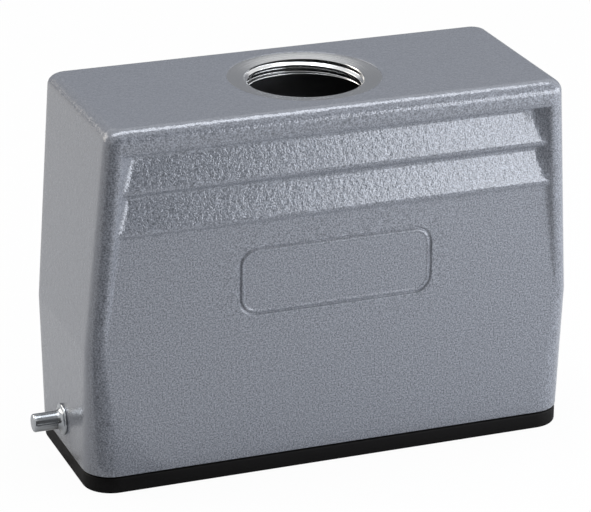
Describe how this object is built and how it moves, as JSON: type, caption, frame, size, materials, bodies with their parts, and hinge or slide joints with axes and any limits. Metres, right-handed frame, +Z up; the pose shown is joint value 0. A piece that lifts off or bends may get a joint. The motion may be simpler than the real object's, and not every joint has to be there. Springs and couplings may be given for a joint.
{
  "type": "heavy duty rectangular connector",
  "caption": "Tall die-cast connector hood with louvred sides, top cable entry, rim seal, locking pegs and a screw-terminal pin insert inside.",
  "frame": {"origin": "centre of the seal's underside, on the surface that the hood stands on", "axes": "+X along the hood towards the right locking peg, -Y towards the face with the badge field, +Z up to the cable entry"},
  "size_m": [0.1352, 0.0484, 0.0891],
  "materials": {
    "powder_coated_casting": "die-cast aluminium with a grey, lightly hammered powder coat",
    "seal_rubber": "matt black nitrile rubber",
    "zinc_plated_steel": "turned steel, bright zinc plated",
    "insert_moulding": "light grey glass-filled polycarbonate, as moulded",
    "silvered_contact": "copper alloy with a hard silver plating",
    "screw_steel": "zinc plated steel",
    "spring_steel": "phosphated spring steel",
    "earth_brass": "nickelled brass strip"
  },
  "bodies": {
    "root": {"hood": "powder_coated_casting", "seal": "seal_rubber", "locking_peg_left": "zinc_plated_steel", "locking_peg_right": "zinc_plated_steel", "insert_body": "insert_moulding", "contact_01": "silvered_contact", "contact_02": "silvered_contact", "contact_03": "silvered_contact", "contact_04": "silvered_contact", "contact_05": "silvered_contact", "contact_06": "silvered_contact", "contact_07": "silvered_contact", "contact_08": "silvered_contact", "contact_09": "silvered_contact", "contact_10": "silvered_contact", "contact_11": "silvered_contact", "contact_12": "silvered_contact", "contact_13": "silvered_contact", "contact_14": "silvered_contact", "contact_15": "silvered_contact", "contact_16": "silvered_contact", "contact_17": "silvered_contact", "contact_18": "silvered_contact", "contact_19": "silvered_contact", "contact_20": "silvered_contact", "contact_21": "silvered_contact", "contact_22": "silvered_contact", "contact_23": "silvered_contact", "contact_24": "silvered_contact", "terminal_screws": "screw_steel", "earth_plate_left": "earth_brass", "earth_plate_right": "earth_brass", "clamp_washer_left": "screw_steel", "clamp_washer_right": "screw_steel", "earth_screw_left": "screw_steel", "earth_screw_right": "screw_steel", "fixing_screws": "screw_steel", "spring_washers": "spring_steel"}
  },
  "joints": []
}
